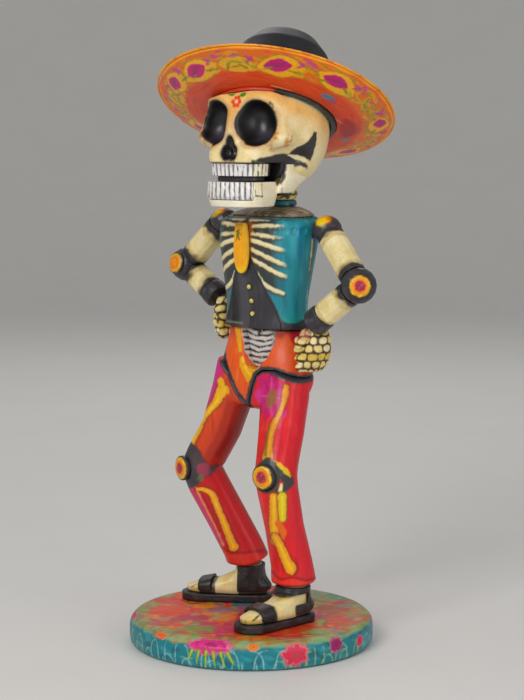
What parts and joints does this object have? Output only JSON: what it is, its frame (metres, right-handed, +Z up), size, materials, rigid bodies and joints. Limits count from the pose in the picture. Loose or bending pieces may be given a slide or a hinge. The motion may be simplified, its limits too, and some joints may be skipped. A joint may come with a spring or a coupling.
{
  "type": "papier-mache catrina figure",
  "caption": "Standing painted paper skeleton in a wide tilted sombrero, open vest, trousers and sandals, hands on hips, on a round flowered base.",
  "frame": {"origin": "centre of the base's flat underside", "axes": "+Z up through the figure, the figure faces -Y, its own left hand is at +X"},
  "size_m": [0.1767, 0.1658, 0.3822],
  "materials": {
    "wire": "bare annealed wire",
    "dowel": "bare softwood",
    "base_paint": "painted and varnished, satin",
    "hand_bone_paint": "painted and varnished, satin",
    "sandal_paint": "painted and varnished, satin",
    "trouser_paint": "painted and varnished, satin",
    "seat_paint": "painted and varnished, satin",
    "spine_paint": "painted and varnished, satin",
    "joint_disc_paint": "painted and varnished, satin",
    "vest_paint": "painted and varnished, satin",
    "waistcoat_paint": "painted and varnished, satin",
    "button_paint": "painted, satin",
    "tie_paint": "painted, satin",
    "rib_paint": "painted, satin",
    "collar_paint": "painted, satin",
    "neck_ring_paint": "painted, satin",
    "joint_black_paint": "painted and varnished, satin",
    "arm_bone_paint": "painted and varnished, satin",
    "skull_paint": "painted and varnished, satin",
    "tooth_paint": "painted, satin",
    "mouth_paint": "painted, satin",
    "brim_paint": "painted and varnished, satin",
    "crown_paint": "painted and varnished, gloss",
    "sweatband_paint": "painted and varnished, satin",
    "rim_paint": "painted and varnished, satin"
  },
  "bodies": {
    "figure": {"right_leg_wire": "wire", "right_arm_wire": "wire", "left_leg_wire": "wire", "left_arm_wire": "wire", "spine_dowel": "dowel", "neck_peg": "dowel", "base_disc": "base_paint", "right_sandal_sole": "sandal_paint", "right_foot": "hand_bone_paint", "right_sandal_strap": "sandal_paint", "right_sandal_heel": "sandal_paint", "left_sandal_sole": "sandal_paint", "left_foot": "hand_bone_paint", "left_sandal_strap": "sandal_paint", "left_sandal_heel": "sandal_paint", "trouser_seat": "seat_paint", "lumbar_spine": "spine_paint", "right_trouser_leg": "trouser_paint", "right_kneecap": "joint_disc_paint", "left_trouser_leg": "trouser_paint", "left_kneecap": "joint_disc_paint", "collar": "collar_paint", "vest_shell": "vest_paint", "ribcage": "rib_paint", "vest_button_top": "button_paint", "vest_button_middle": "button_paint", "vest_button_bottom": "button_paint", "waistcoat_front": "waistcoat_paint", "tie": "tie_paint", "right_shoulder_cap": "joint_black_paint", "right_upper_arm": "arm_bone_paint", "right_elbow_joint": "joint_black_paint", "right_elbow_disc": "joint_disc_paint", "right_forearm": "arm_bone_paint", "right_wrist_cuff": "joint_black_paint", "right_hand": "hand_bone_paint", "left_shoulder_cap": "joint_black_paint", "left_upper_arm": "arm_bone_paint", "left_elbow_joint": "joint_black_paint", "left_elbow_disc": "joint_disc_paint", "left_forearm": "arm_bone_paint", "left_wrist_cuff": "joint_black_paint", "left_hand": "hand_bone_paint", "neck_ring": "neck_ring_paint"},
    "head": {"cranium": "skull_paint", "upper_teeth": "tooth_paint", "lower_teeth": "tooth_paint", "mouth_core": "mouth_paint", "mandible": "skull_paint", "neck_vertebra": "skull_paint"},
    "hat": {"hat_crown": "crown_paint", "hat_brim": "brim_paint", "hat_sweatband": "sweatband_paint", "hat_rim_cord": "rim_paint"}
  },
  "joints": [
    {"name": "head_turn", "type": "hinge", "parent": "figure", "child": "head", "pos_m": [0, 0.028, 0.27], "axis": [0, 0, 1], "range_deg": [-80, 80]},
    {"name": "hat_lift", "type": "slide", "parent": "head", "child": "hat", "axis": [-0.1849, 0.4227, 0.8872], "range_m": [0, 0.06]}
  ]
}
